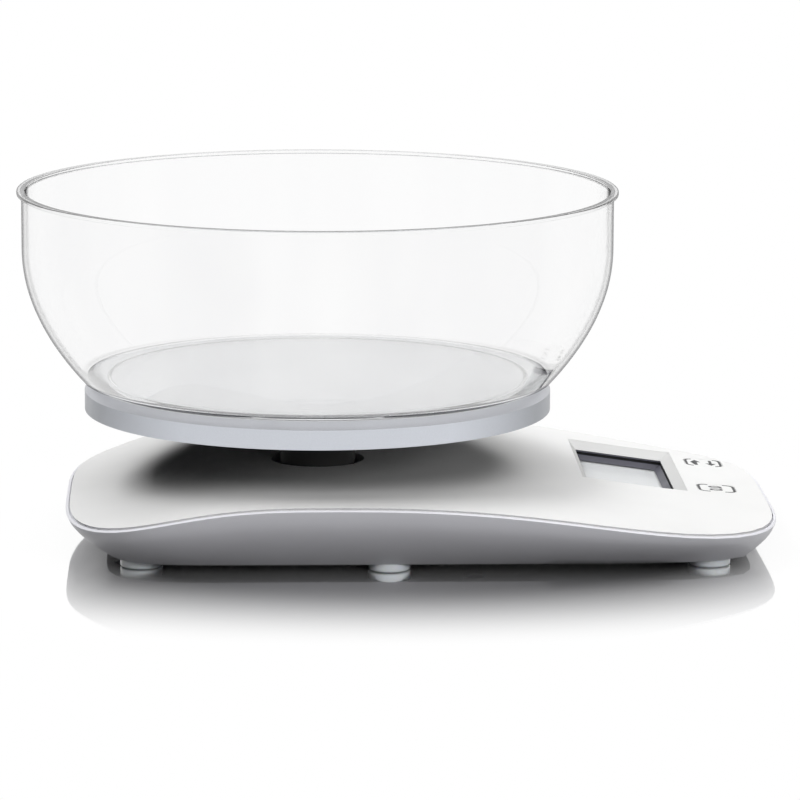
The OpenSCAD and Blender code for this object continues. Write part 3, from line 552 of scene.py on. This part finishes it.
# Painted shade: the wall turns partly into a dark see-through where it is seen edge-on.
facing = clear.node("ShaderNodeLayerWeight").outputs["Facing"]
edge_share = clear.ranged(facing, edge_start, edge_full, 0.0, painted_edge_shade_share, "SMOOTHSTEP")
painted_edge_shade = clear.node("ShaderNodeBsdfTransparent")
painted_edge_shade.inputs["Color"].default_value = (0.28, 0.28, 0.29, 1.0)
wall = clear.blend(edge_share, clear.shader.outputs[0], painted_edge_shade.outputs[0])
light_through = clear.node("ShaderNodeBsdfTransparent")
light_through.inputs["Color"].default_value = (0.92, 0.92, 0.92, 1.0)
shadow_ray = clear.node("ShaderNodeLightPath").outputs["Is Shadow Ray"]
clear.show(clear.blend(shadow_ray, wall, light_through.outputs[0]))
bowl = add_piece("bowl_clear", mesh, clear.material, "bowl", ["bowl"])
rounding = bowl.modifiers.new("rounded_edges", "BEVEL")
rounding.width = 0.0004
rounding.segments = 3
rounding.limit_method = "ANGLE"
rounding.angle_limit = radians(28)

# Studio: a pale polished floor that fades into a white surround, and five softboxes. Two stand on
# the camera's side, one low and one high, and three hang over the rear, the front and the far side.
floor_shade = 0.16
floor_seen = 0.97
floor_size = 6.0
footprint_x = 0.082
footprint_y = 0.113
fade_start = 1.0
fade_end = 1.95
polish_share = 0.93


def seen_rays(tree):
    """Output that is 1 for a ray which the camera sees, straight on or by way of gloss or glass."""
    path = tree.nodes.new("ShaderNodeLightPath")
    seen = path.outputs["Is Camera Ray"]
    for ray in ("Is Glossy Ray", "Is Transmission Ray"):
        either = tree.nodes.new("ShaderNodeMath")
        either.operation = "MAXIMUM"
        tree.links.new(seen, either.inputs[0])
        tree.links.new(path.outputs[ray], either.inputs[1])
        seen = either.outputs[0]
    return seen


floor_data = bpy.data.meshes.new("floor")
mesh = bmesh.new()
bmesh.ops.create_grid(mesh, x_segments=1, y_segments=1, size=floor_size)
mesh.to_mesh(floor_data)
mesh.free()
floor = bpy.data.objects.new("floor", floor_data)
bpy.context.scene.collection.objects.link(floor)
ground = Finish("floor_white", (floor_shade,) * 3, 0.5, specular_ior_level=0.0)
seen = seen_rays(ground.tree)
ground_colour = ground.node("ShaderNodeMix", data_type="RGBA")
ground_colour.inputs[6].default_value = ground.colour
ground_colour.inputs[7].default_value = (floor_seen, floor_seen, floor_seen, 1.0)
ground.link(seen, ground_colour.inputs[0])
ground.link(ground_colour.outputs[2], ground.shader.inputs["Base Color"])
footprint = ground.node("ShaderNodeMapping")
footprint.inputs["Scale"].default_value = (1 / footprint_x, 1 / footprint_y, 1.0)
distance = ground.node("ShaderNodeVectorMath", operation="LENGTH")
ground.link(ground.place, footprint.inputs["Vector"])
ground.link(footprint.outputs["Vector"], distance.inputs[0])
fade = ground.ranged(distance.outputs["Value"], fade_start, fade_end, kind="SMOOTHSTEP")
white_share = ground.node("ShaderNodeMath", operation="MULTIPLY")
ground.link(fade, white_share.inputs[0])
ground.link(seen, white_share.inputs[1])
mirror = ground.node("ShaderNodeBsdfGlossy")
mirror.inputs["Color"].default_value = (1.0, 1.0, 1.0, 1.0)
mirror.inputs["Roughness"].default_value = 0.04
glow = ground.node("ShaderNodeEmission")
share = ground.ranged(seen, 0.0, 1.0, 0.0, polish_share)
polished = ground.blend(share, ground.shader.outputs[0], mirror.outputs[0])
ground.show(ground.blend(white_share.outputs[0], polished, glow.outputs[0]))
floor_data.materials.append(ground.material)

world = bpy.data.worlds.new("surround")
world.use_nodes = True
bpy.context.scene.world = world
background = world.node_tree.nodes["Background"]
background.inputs["Color"].default_value = (1.0, 1.0, 1.0, 1.0)
world.node_tree.links.new(seen_rays(world.node_tree), background.inputs["Strength"])
bpy.context.scene.view_settings.view_transform = "Standard"


def softbox(name, place, target, width, height, power):
    """A rectangular light that faces a target and is not seen in shiny surfaces."""
    data = bpy.data.lights.new(name, "AREA")
    data.shape = "RECTANGLE"
    data.size = width
    data.size_y = height
    data.energy = power
    lamp = bpy.data.objects.new(name, data)
    lamp.location = place
    lamp.visible_glossy = False
    lamp.visible_transmission = False
    lamp.rotation_euler = (Vector(target) - Vector(place)).to_track_quat("-Z", "Y").to_euler()
    bpy.context.scene.collection.objects.link(lamp)


softbox("near_low_box", (-1.13, -0.82, 0.42), (0, 0, 0.03), 0.8, 0.35, 6.6)
softbox("near_box", (-1.2, 0, 0.85), (0, 0, 0.03), 1.6, 0.5, 9.8)
softbox("rear_box", (0, 0.8, 1.2), (0, 0, 0.02), 1.6, 0.6, 12.9)
softbox("front_box", (0, -0.8, 1.2), (0, 0, 0.02), 1.6, 0.6, 5.9)
softbox("far_box", (0.8, 0, 1.2), (0, 0, 0.02), 1.6, 0.6, 8.2)
